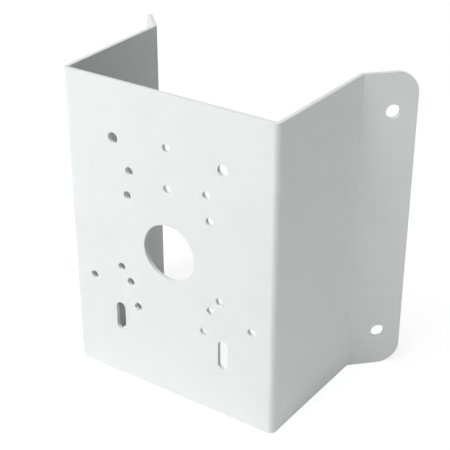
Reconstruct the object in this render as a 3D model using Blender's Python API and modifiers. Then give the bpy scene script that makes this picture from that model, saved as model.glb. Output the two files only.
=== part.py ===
"""Camera corner mount bracket: one steel sheet, pierced and folded, with a powder coat.

The plate that the camera is screwed to faces -Y. A wing folds back from each side of it, past the
corner of the wall, and a flange folds outward from each wing to lie flat on the wall. The bracket
stands upright on z = 0 and is centred on the Z axis.
"""

import math

import bmesh
import bpy
from mathutils import Matrix, Vector

MM = 0.001

# The sheet, and how far a facet may stray from a round shape
SHEET_THICKNESS = 3.0 * MM
INNER_BEND_RADIUS = 1.0 * MM
EDGE_ROUNDING = 0.3 * MM
FACET_ERROR = 0.02 * MM

# The folded sheet: widths run between the sharp corners that its front faces would meet in
HEIGHT = 230.0 * MM
PLATE_WIDTH = 170.0 * MM
WING_LENGTH = 100.7 * MM
WING_FLARE = math.radians(1.0)
FLANGE_LENGTH = 38.7 * MM
FLANGE_CORNER_RADIUS = 16.0 * MM
WALL_CORNER_ANGLE = math.radians(90.0)

# Holes of the plate, placed from its centre
CABLE_HOLE_DIAMETER = 41.5 * MM
SCREW_HOLE_DIAMETER = 6.0 * MM
INNER_CIRCLE_RADIUS = 48.0 * MM
INNER_CIRCLE_DEGREES = (-45, -30, 45, 90, 135, 210, 225)
OUTER_CIRCLE_RADIUS = 77.5 * MM
OUTER_CIRCLE_DEGREES = (-30, 90, 210)
UPPER_PAIR_SPACING = 63.0 * MM
UPPER_PAIR_RISE = 52.6 * MM
LOWER_PAIR_SPACING = 56.6 * MM
LOWER_PAIR_DROP = 52.4 * MM
BOLT_HOLE_DIAMETER = 8.0 * MM
BOLT_SPACING = 88.4 * MM
BOLT_HOLE_RISE = 73.6 * MM
BOLT_SLOT_DROP = 66.0 * MM
BOLT_SLOT_LENGTH = 23.0 * MM

# Holes of the flanges
WALL_HOLE_DIAMETER = 10.0 * MM
WALL_HOLE_FROM_EDGE = 17.0 * MM
WALL_HOLE_FROM_END = 28.0 * MM

# Cutters reach this far past the sheet, in sheet thicknesses
CUTTER_REACH = 1.0

# Rims turn more than the first angle and are rounded. Other edges over the second look crisp.
RIM_ANGLE = math.radians(45.0)
CRISP_ANGLE = math.radians(30.0)

# Points closer than this count as one
SAME_PLACE = 0.1 * MM

COATING_COLOUR = (0.81, 0.85, 0.84, 1.0)
COATING_ROUGHNESS = 0.45

# Directions of the right half's wing and flange in plan, as angles from +X towards +Y
WING_HEADING = math.pi / 2 - WING_FLARE
FLANGE_HEADING = math.pi / 2 - WALL_CORNER_ANGLE / 2


def clear_scene():
    for obj in list(bpy.data.objects):
        bpy.data.objects.remove(obj, do_unlink=True)


def add_collection(name):
    collection = bpy.data.collections.new(name)
    bpy.context.scene.collection.children.link(collection)
    return collection


def add_object(name, mesh_data, collection):
    """Turns the bmesh into an object of the collection."""
    mesh = bpy.data.meshes.new(name)
    mesh_data.to_mesh(mesh)
    mesh_data.free()
    obj = bpy.data.objects.new(name, mesh)
    collection.objects.link(obj)
    return obj


def facets(radius, turn):
    """Straight pieces that follow an arc closely enough."""
    step = 2 * math.acos(1 - FACET_ERROR / radius)
    return max(2, math.ceil(turn / step))


def heading(angle):
    """Unit vector in plan, at an angle from +X towards +Y."""
    return Vector((math.cos(angle), math.sin(angle)))


def plan_corners():
    """Sharp corners of the right half's front faces seen from above, from the middle outwards."""
    plate_end = Vector((PLATE_WIDTH / 2, 0.0))
    wing_end = plate_end + WING_LENGTH * heading(WING_HEADING)
    tip = wing_end + FLANGE_LENGTH * heading(FLANGE_HEADING)

    # The rearmost point is on the tip's rounded back edge, which the sheet's depth is centred by.
    rounding_centre = (
        tip
        - EDGE_ROUNDING * heading(FLANGE_HEADING)
        + (SHEET_THICKNESS - EDGE_ROUNDING) * heading(FLANGE_HEADING + math.pi / 2)
    )
    depth = rounding_centre.y + EDGE_ROUNDING
    centring = Vector((0.0, -depth / 2))
    return [point + centring for point in (Vector((0.0, 0.0)), plate_end, wing_end, tip)]


def fold_edge(mesh_data, corner, radius, turn):
    """Rounds the upright edge at this corner of the plan."""
    edges = []
    for edge in mesh_data.edges:
        if all((vert.co.xy - corner).length < SAME_PLACE for vert in edge.verts):
            edges.append(edge)
    bmesh.ops.bevel(
        mesh_data,
        geom=edges,
        offset=radius * math.tan(turn / 2),
        offset_type="OFFSET",
        segments=facets(INNER_BEND_RADIUS + SHEET_THICKNESS, turn),
        profile=0.5,
        affect="EDGES",
    )


def add_half_sheet(collection):
    """Front faces of the right half, open at the middle of the plate."""
    corners = plan_corners()
    mesh_data = bmesh.new()
    foot = [mesh_data.verts.new((*corner, 0.0)) for corner in corners]
    path = [mesh_data.edges.new(pair) for pair in zip(foot, foot[1:])]
    raised = bmesh.ops.extrude_edge_only(mesh_data, edges=path)["geom"]
    raised_verts = [item for item in raised if isinstance(item, bmesh.types.BMVert)]
    bmesh.ops.translate(mesh_data, verts=raised_verts, vec=(0.0, 0.0, HEIGHT))
    bmesh.ops.reverse_faces(mesh_data, faces=mesh_data.faces)

    # The front of the sheet is inside the bend at the flange, and outside it at the plate.
    outer_radius = INNER_BEND_RADIUS + SHEET_THICKNESS
    fold_edge(mesh_data, corners[1], outer_radius, WING_HEADING)
    fold_edge(mesh_data, corners[2], INNER_BEND_RADIUS, WING_HEADING - FLANGE_HEADING)

    tips = [vert for vert in mesh_data.verts if (vert.co.xy - corners[3]).length < SAME_PLACE]
    bmesh.ops.bevel(
        mesh_data,
        geom=tips,
        offset=FLANGE_CORNER_RADIUS,
        offset_type="OFFSET",
        segments=facets(FLANGE_CORNER_RADIUS, math.pi / 2),
        profile=0.5,
        affect="VERTICES",
    )
    return add_object("corner_bracket", mesh_data, collection)


def add_cutter(name, mesh_data, place, cutters):
    """A cutter made along its own Y axis about its origin, then placed."""
    bmesh.ops.recalc_face_normals(mesh_data, faces=mesh_data.faces)
    cutter = add_object(name, mesh_data, cutters)
    cutter.matrix_world = place
    cutter.display_type = "WIRE"
    cutter.hide_render = True


def cutter_length():
    return SHEET_THICKNESS * (1 + 2 * CUTTER_REACH)


def add_round_cutter(name, diameter, place, cutters):
    mesh_data = bmesh.new()
    bmesh.ops.create_cone(
        mesh_data,
        cap_ends=True,
        segments=4 * facets(diameter / 2, math.pi / 2),
        radius1=diameter / 2,
        radius2=diameter / 2,
        depth=cutter_length(),
        matrix=Matrix.Rotation(math.pi / 2, 4, "X"),
    )
    add_cutter(name, mesh_data, place, cutters)


def add_slot_cutter(name, width, length, place, cutters):
    """An upright slot whose two ends are half circles."""
    radius = width / 2
    rise = (length - width) / 2
    steps = 2 * facets(radius, math.pi / 2)
    upper_end = []
    for step in range(steps + 1):
        angle = math.pi * step / steps
        upper_end.append((radius * math.cos(angle), rise + radius * math.sin(angle)))
    lower_end = [(-x, -z) for x, z in upper_end]

    mesh_data = bmesh.new()
    front = -cutter_length() / 2
    outline = [mesh_data.verts.new((x, front, z)) for x, z in upper_end + lower_end]
    face = mesh_data.faces.new(outline)
    pushed = bmesh.ops.extrude_face_region(mesh_data, geom=[face])["geom"]
    pushed_verts = [item for item in pushed if isinstance(item, bmesh.types.BMVert)]
    bmesh.ops.translate(mesh_data, verts=pushed_verts, vec=(0.0, cutter_length(), 0.0))
    add_cutter(name, mesh_data, place, cutters)


def on_plate(across, up):
    """Place inside the plate's sheet, measured from the plate's centre."""
    front = plan_corners()[0].y
    return Matrix.Translation((across, front + SHEET_THICKNESS / 2, HEIGHT / 2 + up))


def on_flange(side, up):
    """Place inside a flange's sheet, on the line of its holes and square to its face."""
    tip = plan_corners()[3]
    along = heading(FLANGE_HEADING)
    towards_wall = heading(FLANGE_HEADING + math.pi / 2)
    spot = tip - WALL_HOLE_FROM_EDGE * along + SHEET_THICKNESS / 2 * towards_wall
    move = Matrix.Translation((side * spot.x, spot.y, HEIGHT / 2 + up))
    return move @ Matrix.Rotation(side * FLANGE_HEADING, 4, "Z")


def screw_hole_spots():
    """Centres of the small screw holes, across and up from the plate's centre."""
    circles = (
        (INNER_CIRCLE_RADIUS, INNER_CIRCLE_DEGREES),
        (OUTER_CIRCLE_RADIUS, OUTER_CIRCLE_DEGREES),
    )
    spots = []
    for radius, degrees in circles:
        for degree in degrees:
            spots.append(radius * heading(math.radians(degree)))
    for side in (-1, 1):
        spots.append(Vector((side * UPPER_PAIR_SPACING / 2, UPPER_PAIR_RISE)))
        spots.append(Vector((side * LOWER_PAIR_SPACING / 2, -LOWER_PAIR_DROP)))
    return spots


def add_plate_cutters(cutters):
    add_round_cutter("cable_hole", CABLE_HOLE_DIAMETER, on_plate(0.0, 0.0), cutters)
    for across, up in screw_hole_spots():
        add_round_cutter("screw_hole", SCREW_HOLE_DIAMETER, on_plate(across, up), cutters)
    for side in (-1, 1):
        across = side * BOLT_SPACING / 2
        bolt_place = on_plate(across, BOLT_HOLE_RISE)
        slot_place = on_plate(across, -BOLT_SLOT_DROP)
        add_round_cutter("bolt_hole", BOLT_HOLE_DIAMETER, bolt_place, cutters)
        add_slot_cutter("bolt_slot", BOLT_HOLE_DIAMETER, BOLT_SLOT_LENGTH, slot_place, cutters)


def add_flange_cutters(cutters):
    reach = HEIGHT / 2 - WALL_HOLE_FROM_END
    for side in (-1, 1):
        for up in (-reach, reach):
            add_round_cutter("wall_hole", WALL_HOLE_DIAMETER, on_flange(side, up), cutters)


def smooth_by_angle():
    """Geometry nodes that shade faces smooth and leave an edge crisp where the surface turns."""
    group = bpy.data.node_groups.new("Smooth by angle", "GeometryNodeTree")
    for end in ("INPUT", "OUTPUT"):
        group.interface.new_socket("Geometry", in_out=end, socket_type="NodeSocketGeometry")
    source = group.nodes.new("NodeGroupInput")
    smooth_faces = group.nodes.new("GeometryNodeSetShadeSmooth")
    edge_angle = group.nodes.new("GeometryNodeInputMeshEdgeAngle")
    turns_sharply = group.nodes.new("FunctionNodeCompare")
    turns_sharply.operation = "GREATER_THAN"
    turns_sharply.inputs["B"].default_value = CRISP_ANGLE
    crisp_edges = group.nodes.new("GeometryNodeSetShadeSmooth")
    crisp_edges.domain = "EDGE"
    crisp_edges.inputs["Shade Smooth"].default_value = False
    result = group.nodes.new("NodeGroupOutput")
    links = group.links
    links.new(source.outputs["Geometry"], smooth_faces.inputs["Geometry"])
    links.new(smooth_faces.outputs["Geometry"], crisp_edges.inputs["Geometry"])
    links.new(edge_angle.outputs["Unsigned Angle"], turns_sharply.inputs["A"])
    links.new(turns_sharply.outputs["Result"], crisp_edges.inputs["Selection"])
    links.new(crisp_edges.outputs["Geometry"], result.inputs["Geometry"])
    return group


def add_modifiers(sheet, cutters):
    """Mirrors the half sheet, thickens it behind its front faces, pierces it and rounds its rims."""
    mirror = sheet.modifiers.new("Other half", "MIRROR")
    mirror.merge_threshold = SAME_PLACE

    solidify = sheet.modifiers.new("Sheet thickness", "SOLIDIFY")
    solidify.thickness = SHEET_THICKNESS
    solidify.offset = -1.0
    solidify.use_even_offset = True

    piercing = sheet.modifiers.new("Holes", "BOOLEAN")
    piercing.operation = "DIFFERENCE"
    piercing.operand_type = "COLLECTION"
    piercing.collection = cutters
    piercing.solver = "EXACT"

    rounding = sheet.modifiers.new("Rounded rim", "BEVEL")
    rounding.width = EDGE_ROUNDING
    rounding.segments = 2
    rounding.limit_method = "ANGLE"
    rounding.angle_limit = RIM_ANGLE
    rounding.use_clamp_overlap = False

    shading = sheet.modifiers.new("Smooth by angle", "NODES")
    shading.node_group = smooth_by_angle()


def coating():
    material = bpy.data.materials.new("powder_coat")
    material.use_nodes = True
    shader = material.node_tree.nodes["Principled BSDF"]
    shader.inputs["Base Color"].default_value = COATING_COLOUR
    shader.inputs["Roughness"].default_value = COATING_ROUGHNESS
    shader.inputs["Metallic"].default_value = 0.0
    material.diffuse_color = COATING_COLOUR
    return material


def main():
    clear_scene()
    parts = add_collection("camera_corner_bracket")
    cutters = add_collection("bracket_cutters")
    cutters.hide_render = True

    sheet = add_half_sheet(parts)
    add_plate_cutters(cutters)
    add_flange_cutters(cutters)
    add_modifiers(sheet, cutters)
    sheet.data.materials.append(coating())


main()
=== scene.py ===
"""Camera corner mount bracket: a folded, pierced sheet with a powder coat, in a white studio.

The sheet is laid out flat, with its holes and rounded edges, and then wrapped round its folds. A
place on the flat sheet is (along, up): along its front from the middle, and up from its lower edge.
Sizes are those of the solid model, which faces -Y and stands on z = 0.
"""

import math

import bpy
from mathutils import Matrix, Vector
from mathutils.geometry import delaunay_2d_cdt


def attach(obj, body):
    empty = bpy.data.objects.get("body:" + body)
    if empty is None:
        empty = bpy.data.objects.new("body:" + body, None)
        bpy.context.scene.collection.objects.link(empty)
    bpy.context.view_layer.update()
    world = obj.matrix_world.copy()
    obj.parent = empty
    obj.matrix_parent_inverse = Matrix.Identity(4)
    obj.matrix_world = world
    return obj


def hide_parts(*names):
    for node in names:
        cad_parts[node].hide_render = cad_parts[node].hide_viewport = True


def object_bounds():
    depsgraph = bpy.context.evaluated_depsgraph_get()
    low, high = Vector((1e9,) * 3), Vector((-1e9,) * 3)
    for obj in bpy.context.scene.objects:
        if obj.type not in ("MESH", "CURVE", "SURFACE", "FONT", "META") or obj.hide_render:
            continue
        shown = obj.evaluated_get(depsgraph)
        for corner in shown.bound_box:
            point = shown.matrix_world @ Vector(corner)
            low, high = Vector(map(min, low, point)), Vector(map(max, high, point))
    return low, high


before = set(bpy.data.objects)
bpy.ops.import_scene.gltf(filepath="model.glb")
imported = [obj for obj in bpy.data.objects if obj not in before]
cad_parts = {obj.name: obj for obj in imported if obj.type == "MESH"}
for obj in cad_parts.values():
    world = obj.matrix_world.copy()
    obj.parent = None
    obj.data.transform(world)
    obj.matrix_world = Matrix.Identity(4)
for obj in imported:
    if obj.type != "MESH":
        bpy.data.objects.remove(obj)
cad_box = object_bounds()

MM = 0.001

# The sheet
THICKNESS = 3.0 * MM
INNER_BEND_RADIUS = 1.0 * MM
RIM_RADIUS = 0.3 * MM

# The folded sheet: widths run between the sharp corners that its front faces would meet in
HEIGHT = 230.0 * MM
PLATE_WIDTH = 170.0 * MM
WING_LENGTH = 100.7 * MM
WING_HEADING = math.radians(89.0)
FLANGE_LENGTH = 38.7 * MM
FLANGE_HEADING = math.radians(45.0)
FLANGE_CORNER_RADIUS = 16.0 * MM

# Holes of the plate, placed from its centre
CABLE_HOLE_RADIUS = 20.75 * MM
SCREW_HOLE_RADIUS = 3.0 * MM
SCREW_CIRCLES = (
    (48.0 * MM, (-45, -30, 45, 90, 135, 210, 225)),
    (77.5 * MM, (-30, 90, 210)),
)
SCREW_PAIRS = ((31.5 * MM, 52.6 * MM), (28.3 * MM, -52.4 * MM))
BOLT_RADIUS = 4.0 * MM
BOLT_ACROSS = 44.2 * MM
BOLT_HOLE_RISE = 73.6 * MM
BOLT_SLOT_DROP = 66.0 * MM
BOLT_SLOT_LENGTH = 23.0 * MM

# Holes of the flanges
WALL_HOLE_RADIUS = 5.0 * MM
WALL_HOLE_FROM_EDGE = 17.0 * MM
WALL_HOLE_FROM_END = 28.0 * MM

# How finely round shapes are divided, and how near counts as the same place along the sheet
RIM_STEPS = 5
FACET_ERROR = 0.004 * MM
HAIR = 1e-9
SAME_LINE = 1e-7

# The camera, fitted to the photograph
CAMERA_AZIMUTH = math.radians(34.567)
CAMERA_ELEVATION = math.radians(28.336)
CAMERA_ROLL = math.radians(-0.0319)
CAMERA_DISTANCE = 0.82007
CAMERA_ACROSS = 0.00899
CAMERA_UP = -0.00427
CAMERA_TARGET_BEHIND_FRONT = 0.051
CAMERA_TARGET_HEIGHT = 0.119
SENSOR_WIDTH_MM = 36.0
FOCAL_LENGTH_IN_WIDTHS = 2.59684

# The studio. Each softbox has its azimuth and elevation in degrees, distance, size and power
SOFTBOXES = (
    ("high_softbox", -10.0, 60.0, 3.4, 1.7, 92.0),
    ("left_softbox", -45.0, 8.0, 1.3, 0.6, 5.19),
    ("right_softbox", 105.0, 3.0, 1.6, 0.8, 4.66),
)
OVERHEAD_POWER = 0.41
OVERHEAD_SPREAD = math.radians(20.0)
FLOOR_REACH = 30.0
FLOOR_DROP = 0.2 * MM
FLOOR_BOUNCE = 0.88
FLOOR_SHADOW = 0.22
NEAR_GLOW, FAR_GLOW = 0.86, 1.0
GLOW_RISES_FROM, GLOW_RISES_TO = 0.4, 2.5


def heading(angle):
    """Unit vector in plan, at an angle from +X towards +Y."""
    return Vector((math.cos(angle), math.sin(angle)))


def facets(radius, turn):
    """Straight pieces that follow an arc closely enough."""
    return max(4, math.ceil(turn / (2 * math.acos(1 - FACET_ERROR / radius))))


class Fold:
    """The right half's front face in plan, as flat and bent stretches from the middle outwards."""

    def __init__(self, front):
        self.stretches = []
        self.length = 0.0
        self.point, self.angle = Vector((0.0, front)), 0.0
        turn_out = WING_HEADING - FLANGE_HEADING
        outer_radius = INNER_BEND_RADIUS + THICKNESS
        set_in = outer_radius * math.tan(WING_HEADING / 2)
        set_out = INNER_BEND_RADIUS * math.tan(turn_out / 2)
        self.add(PLATE_WIDTH / 2 - set_in, 0.0)
        self.add(outer_radius * WING_HEADING, 1 / outer_radius)
        self.add(WING_LENGTH - set_in - set_out, 0.0)
        self.add(INNER_BEND_RADIUS * turn_out, -1 / INNER_BEND_RADIUS)
        self.add(FLANGE_LENGTH - set_out, 0.0)

    def add(self, length, curvature):
        """Adds a stretch. It turns to the left of the way along it where curvature is positive."""
        self.stretches.append((self.length, curvature, self.point, self.angle))
        self.length += length
        self.point, self.angle = self.reach(self.stretches[-1], length)

    def reach(self, stretch, distance):
        """Place and heading at a distance along the stretch."""
        curvature, point, angle = stretch[1:]
        if curvature == 0.0:
            return point + distance * heading(angle), angle
        centre = point + heading(angle + math.pi / 2) / curvature
        angle += distance * curvature
        return centre + heading(angle - math.pi / 2) / curvature, angle

    def at(self, along):
        """Place on the front face, the direction along it and the direction out of it, in plan."""
        distance = abs(along)
        stretch = [item for item in self.stretches if item[0] <= distance + HAIR][-1]
        point, angle = self.reach(stretch, distance - stretch[0])
        tangent, outward = heading(angle), heading(angle - math.pi / 2)
        if along < 0:
            point = Vector((-point.x, point.y))
            tangent = Vector((tangent.x, -tangent.y))
            outward = Vector((-outward.x, outward.y))
        return point, tangent, outward

    def bend_lines(self):
        """Distances along the right half at which its bends are divided."""
        lines = []
        ends = [item[0] for item in self.stretches[1:]] + [self.length]
        for (start, curvature, _, _), end in zip(self.stretches, ends):
            if curvature:
                radius = INNER_BEND_RADIUS + THICKNESS
                steps = facets(radius, (end - start) * abs(curvature))
                lines += [start + (end - start) * step / steps for step in range(steps + 1)]
        return lines


def arc_points(centre, radius, start, turn, inward):
    """Points of an arc with the directions off the sheet: towards its centre where inward is 1."""
    steps = facets(radius, abs(turn))
    points = []
    for step in range(steps + 1):
        direction = heading(start + turn * step / steps)
        points.append((Vector(centre) + radius * direction, -inward * direction))
    return points


def sheet_outline(fold):
    """The sheet's edge, with the sheet on the left of the way round it."""
    lines = fold.bend_lines()
    reach = fold.length - FLANGE_CORNER_RADIUS
    top = HEIGHT - FLANGE_CORNER_RADIUS
    quarter = math.pi / 2
    stations = [-line for line in reversed(lines)] + lines
    outline = [(Vector((along, 0.0)), Vector((0.0, -1.0))) for along in stations]
    corners = (
        ((reach, FLANGE_CORNER_RADIUS), -quarter),
        ((reach, top), 0.0),
        ((-reach, top), quarter),
        ((-reach, FLANGE_CORNER_RADIUS), 2 * quarter),
    )
    for index, (centre, start) in enumerate(corners):
        outline += arc_points(centre, FLANGE_CORNER_RADIUS, start, quarter, -1)
        if index == 1:
            outline += [(Vector((-along, HEIGHT)), Vector((0.0, 1.0))) for along in stations]
    return outline


def round_hole(centre, radius):
    """A hole's edge, with the sheet on the left of the way round it."""
    return arc_points(centre, radius, 0.0, -2 * math.pi, 1)[:-1]


def slot(centre, radius, length):
    """An upright slot's edge, with the sheet on the left of the way round it."""
    rise = Vector((0.0, length / 2 - radius))
    upper = arc_points(Vector(centre) + rise, radius, math.pi, -math.pi, 1)
    lower = arc_points(Vector(centre) - rise, radius, 0.0, -math.pi, 1)
    return upper + lower


def sheet_holes(fold):
    """Every hole's edge."""
    middle = Vector((0.0, HEIGHT / 2))
    rounds = [(middle, CABLE_HOLE_RADIUS)]
    for radius, degrees in SCREW_CIRCLES:
        for degree in degrees:
            rounds.append((middle + radius * heading(math.radians(degree)), SCREW_HOLE_RADIUS))
    slots = []
    for side in (-1, 1):
        for across, up in SCREW_PAIRS:
            rounds.append((middle + Vector((side * across, up)), SCREW_HOLE_RADIUS))
        rounds.append((middle + Vector((side * BOLT_ACROSS, BOLT_HOLE_RISE)), BOLT_RADIUS))
        slots.append(middle + Vector((side * BOLT_ACROSS, -BOLT_SLOT_DROP)))
        along = side * (fold.length - WALL_HOLE_FROM_EDGE)
        for up in (WALL_HOLE_FROM_END, HEIGHT - WALL_HOLE_FROM_END):
            rounds.append((Vector((along, up)), WALL_HOLE_RADIUS))

    holes = [round_hole(centre, radius) for centre, radius in rounds]
    return holes + [slot(centre, BOLT_RADIUS, BOLT_SLOT_LENGTH) for centre in slots]


def rim_profile():
    """(set back from the edge, depth from the front, share of the normal off the edge, front)."""
    front = []
    for step in range(RIM_STEPS + 1):
        turn = math.pi / 2 * step / RIM_STEPS
        inset = RIM_RADIUS * (1 - math.sin(turn))
        depth = RIM_RADIUS * (1 - math.cos(turn))
        front.append((inset, depth, math.sin(turn), math.cos(turn)))
    back = [(inset, THICKNESS - depth, off, -out) for inset, depth, off, out in reversed(front)]
    return front + back


def bracket_mesh():
    """The folded sheet as a mesh with exact normals."""
    fold = Fold(cad_box[0].y)
    outline = sheet_outline(fold)
    loops = [outline] + sheet_holes(fold)
    profile = rim_profile()

    verts, normals, faces = [], [], []
    firsts = []
    for loop in loops:
        firsts.append(len(verts))
        for inset, depth, off_share, out_share in profile:
            for point, off in loop:
                place = point - inset * off
                plan, tangent, outward = fold.at(place.x)
                spot = plan - depth * outward
                normal = off_share * off.x * tangent + out_share * outward
                verts.append((spot.x, spot.y, place.y))
                normals.append(Vector((normal.x, normal.y, off_share * off.y)).normalized())
        size = len(loop)
        for ring in range(len(profile) - 1):
            start = firsts[-1] + ring * size
            under = start + size
            for here in range(size):
                after = (here + 1) % size
                faces.append((start + here, under + here, under + after, start + after))

    # The front between its rounded rims, filled on the flat sheet, and the same for the back
    flat, loop_of, front_of, back_of, borders = [], [], [], [], []
    for number, (loop, first) in enumerate(zip(loops, firsts)):
        size, start = len(loop), len(flat)
        loop_of += [number] * size
        for here, (point, off) in enumerate(loop):
            flat.append(point - RIM_RADIUS * off)
            front_of.append(first + here)
            back_of.append(first + (len(profile) - 1) * size + here)
            borders.append((start + here, start + (here + 1) % size))
    places = list(enumerate(flat[:len(outline)]))
    for line in fold.bend_lines():
        for along in (-line, line):
            ends = [index for index, place in places if abs(place.x - along) < SAME_LINE]
            borders.append((ends[0], ends[-1]))
    _, _, filled, source, _, _ = delaunay_2d_cdt(flat, borders, [], 1, HAIR)
    for face in filled:
        corners = [source[index][0] for index in face]
        # A face with every corner on the same hole's edge would close that hole
        around = {loop_of[index] for index in corners}
        if len(around) == 1 and around != {0}:
            continue
        faces.append([front_of[index] for index in corners])
        faces.append([back_of[index] for index in reversed(corners)])

    mesh = bpy.data.meshes.new("folded_sheet")
    mesh.from_pydata(verts, [], faces)
    mesh.update()
    mesh.normals_split_custom_set_from_vertices(normals)
    return mesh


def powder_coat():
    """Pale, dull satin powder coat with the faint orange peel and speckle that it cures with."""
    material = bpy.data.materials.new("powder_coat")
    material.use_nodes = True
    nodes, links = material.node_tree.nodes, material.node_tree.links
    shader = nodes["Principled BSDF"]
    shader.inputs["Metallic"].default_value = 0.0
    shader.inputs["IOR"].default_value = 1.5
    place = nodes.new("ShaderNodeTexCoord").outputs["Object"]

    def noise(scale, detail, roughness=0.5):
        node = nodes.new("ShaderNodeTexNoise")
        node.inputs["Scale"].default_value = scale
        node.inputs["Detail"].default_value = detail
        node.inputs["Roughness"].default_value = roughness
        links.new(place, node.inputs["Vector"])
        return node.outputs["Fac"]

    def remap(value, low, high):
        node = nodes.new("ShaderNodeMapRange")
        node.inputs["From Min"].default_value = 0.3
        node.inputs["From Max"].default_value = 0.7
        node.inputs["To Min"].default_value = low
        node.inputs["To Max"].default_value = high
        links.new(value, node.inputs["Value"])
        return node.outputs["Result"]

    # Colour: broad drifts of tone under a fine speckle
    drift = nodes.new("ShaderNodeMix")
    drift.data_type = "RGBA"
    drift.inputs["A"].default_value = (0.800, 0.840, 0.831, 1.0)
    drift.inputs["B"].default_value = (0.820, 0.858, 0.848, 1.0)
    links.new(remap(noise(38.0, 2.0), 0.0, 1.0), drift.inputs["Factor"])
    speckle = nodes.new("ShaderNodeMix")
    speckle.data_type = "RGBA"
    speckle.blend_type = "MULTIPLY"
    speckle.inputs["Factor"].default_value = 1.0
    links.new(drift.outputs["Result"], speckle.inputs["A"])
    links.new(remap(noise(2600.0, 1.0), 0.975, 1.0), speckle.inputs["B"])
    links.new(speckle.outputs["Result"], shader.inputs["Base Color"])

    # Gloss: dull satin, a little uneven
    links.new(remap(noise(240.0, 3.0), 0.60, 0.70), shader.inputs["Roughness"])

    # Relief: orange peel a couple of millimetres across, with a finer grain on it
    peel = nodes.new("ShaderNodeBump")
    peel.inputs["Strength"].default_value = 1.0
    peel.inputs["Distance"].default_value = 0.010 * MM
    links.new(noise(620.0, 1.5, 0.4), peel.inputs["Height"])
    grain = nodes.new("ShaderNodeBump")
    grain.inputs["Strength"].default_value = 1.0
    grain.inputs["Distance"].default_value = 0.002 * MM
    links.new(noise(3200.0, 1.0), grain.inputs["Height"])
    links.new(peel.outputs["Normal"], grain.inputs["Normal"])
    links.new(grain.outputs["Normal"], shader.inputs["Normal"])
    return material


def add_bracket():
    bracket = bpy.data.objects.new("folded_sheet", bracket_mesh())
    bpy.context.scene.collection.objects.link(bracket)
    bracket.data.materials.append(powder_coat())
    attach(bracket, "root")
    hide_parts("corner_bracket")


def seen_directly(nodes, links):
    """1 for rays from the camera, off gloss or through glass, and 0 for rays that light things."""
    path = nodes.new("ShaderNodeLightPath")
    total = path.outputs["Is Camera Ray"]
    for name in ("Is Glossy Ray", "Is Transmission Ray"):
        add = nodes.new("ShaderNodeMath")
        add.operation = "MAXIMUM"
        links.new(total, add.inputs[0])
        links.new(path.outputs[name], add.inputs[1])
        total = add.outputs[0]
    return total


def add_world():
    """White where it is seen, and no light of its own on the bracket."""
    world = bpy.data.worlds.new("studio")
    world.use_nodes = True
    bpy.context.scene.world = world
    nodes, links = world.node_tree.nodes, world.node_tree.links
    background = nodes["Background"]
    background.inputs["Color"].default_value = (1.0, 1.0, 1.0, 1.0)
    links.new(seen_directly(nodes, links), background.inputs["Strength"])


def add_floor():
    """A pale floor that shows white and keeps a soft shadow under the bracket."""
    mesh = bpy.data.meshes.new("floor")
    corners = ((-1, -1), (1, -1), (1, 1), (-1, 1))
    verts = [(x * FLOOR_REACH, y * FLOOR_REACH, -FLOOR_DROP) for x, y in corners]
    mesh.from_pydata(verts, [], [(0, 1, 2, 3)])
    floor = bpy.data.objects.new("floor", mesh)
    bpy.context.scene.collection.objects.link(floor)

    material = bpy.data.materials.new("floor_white")
    material.use_nodes = True
    nodes, links = material.node_tree.nodes, material.node_tree.links
    shader = nodes["Principled BSDF"]
    shader.inputs["Roughness"].default_value = 1.0
    shader.inputs["Specular IOR Level"].default_value = 0.0
    shader.inputs["Emission Color"].default_value = (1.0, 1.0, 1.0, 1.0)

    # A pale paint for the light it throws back, and a dark one under the glow where it is seen
    seen = seen_directly(nodes, links)
    paint = nodes.new("ShaderNodeMix")
    paint.data_type = "RGBA"
    paint.inputs["A"].default_value = (FLOOR_BOUNCE, FLOOR_BOUNCE, FLOOR_BOUNCE, 1.0)
    paint.inputs["B"].default_value = (FLOOR_SHADOW, FLOOR_SHADOW, FLOOR_SHADOW, 1.0)
    links.new(seen, paint.inputs["Factor"])
    links.new(paint.outputs["Result"], shader.inputs["Base Color"])

    # The glow makes up for the lamps' falling light further off, so that no horizon shows
    away = nodes.new("ShaderNodeVectorMath")
    away.operation = "LENGTH"
    links.new(nodes.new("ShaderNodeTexCoord").outputs["Object"], away.inputs[0])
    glow = nodes.new("ShaderNodeMapRange")
    glow.interpolation_type = "SMOOTHSTEP"
    glow.inputs["From Min"].default_value = GLOW_RISES_FROM
    glow.inputs["From Max"].default_value = GLOW_RISES_TO
    glow.inputs["To Min"].default_value = NEAR_GLOW
    glow.inputs["To Max"].default_value = FAR_GLOW
    links.new(away.outputs["Value"], glow.inputs["Value"])
    shown = nodes.new("ShaderNodeMath")
    shown.operation = "MULTIPLY"
    links.new(seen, shown.inputs[0])
    links.new(glow.outputs["Result"], shown.inputs[1])
    links.new(shown.outputs[0], shader.inputs["Emission Strength"])
    mesh.materials.append(material)


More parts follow.
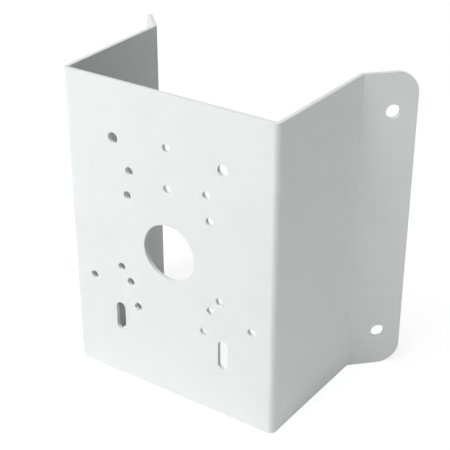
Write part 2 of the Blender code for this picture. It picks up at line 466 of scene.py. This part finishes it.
def add_softbox(name, azimuth, elevation, distance, size, power):
    """A square lamp facing the bracket. Azimuth 0 is in front, and it grows towards +X."""
    light = bpy.data.lights.new(name, "AREA")
    light.shape = "SQUARE"
    light.size = size
    light.energy = power
    lamp = bpy.data.objects.new(name, light)
    bpy.context.scene.collection.objects.link(lamp)
    across, rise = math.radians(azimuth), math.radians(elevation)
    level = math.cos(rise)
    aim = Vector((math.sin(across) * level, -math.cos(across) * level, math.sin(rise)))
    spot = Vector((0.0, 0.0, HEIGHT / 2)) + aim * distance
    lamp.matrix_world = Matrix.Translation(spot) @ aim.to_track_quat("Z", "Y").to_matrix().to_4x4()


def add_overhead_light():
    """Even soft light from straight above, as from a large ceiling diffuser."""
    light = bpy.data.lights.new("overhead_light", "SUN")
    light.energy = OVERHEAD_POWER
    light.angle = OVERHEAD_SPREAD
    lamp = bpy.data.objects.new("overhead_light", light)
    bpy.context.scene.collection.objects.link(lamp)


def add_camera():
    """The photograph's view: azimuth 0 looks along +Y."""
    azimuth, elevation, roll = CAMERA_AZIMUTH, CAMERA_ELEVATION, CAMERA_ROLL
    level = math.cos(elevation)
    back = Vector((math.sin(azimuth) * level, -math.cos(azimuth) * level, math.sin(elevation)))
    right = Vector((math.cos(azimuth), math.sin(azimuth), 0.0))
    up = back.cross(right)
    right, up = (
        math.cos(roll) * right + math.sin(roll) * up,
        math.cos(roll) * up - math.sin(roll) * right,
    )
    target = Vector((0.0, cad_box[0].y + CAMERA_TARGET_BEHIND_FRONT, CAMERA_TARGET_HEIGHT))
    spot = target + CAMERA_DISTANCE * back + CAMERA_ACROSS * right + CAMERA_UP * up
    data = bpy.data.cameras.new("camera")
    data.sensor_width = SENSOR_WIDTH_MM
    data.lens = data.sensor_width * FOCAL_LENGTH_IN_WIDTHS
    data.clip_start, data.clip_end = 0.01, 100.0
    camera = bpy.data.objects.new("camera", data)
    bpy.context.scene.collection.objects.link(camera)
    turn = Matrix((right, up, back)).transposed().to_4x4()
    camera.matrix_world = Matrix.Translation(spot) @ turn
    bpy.context.scene.camera = camera


add_bracket()
add_world()
add_floor()
for softbox in SOFTBOXES:
    add_softbox(*softbox)
add_overhead_light()
add_camera()
bpy.context.scene.view_settings.view_transform = "Standard"
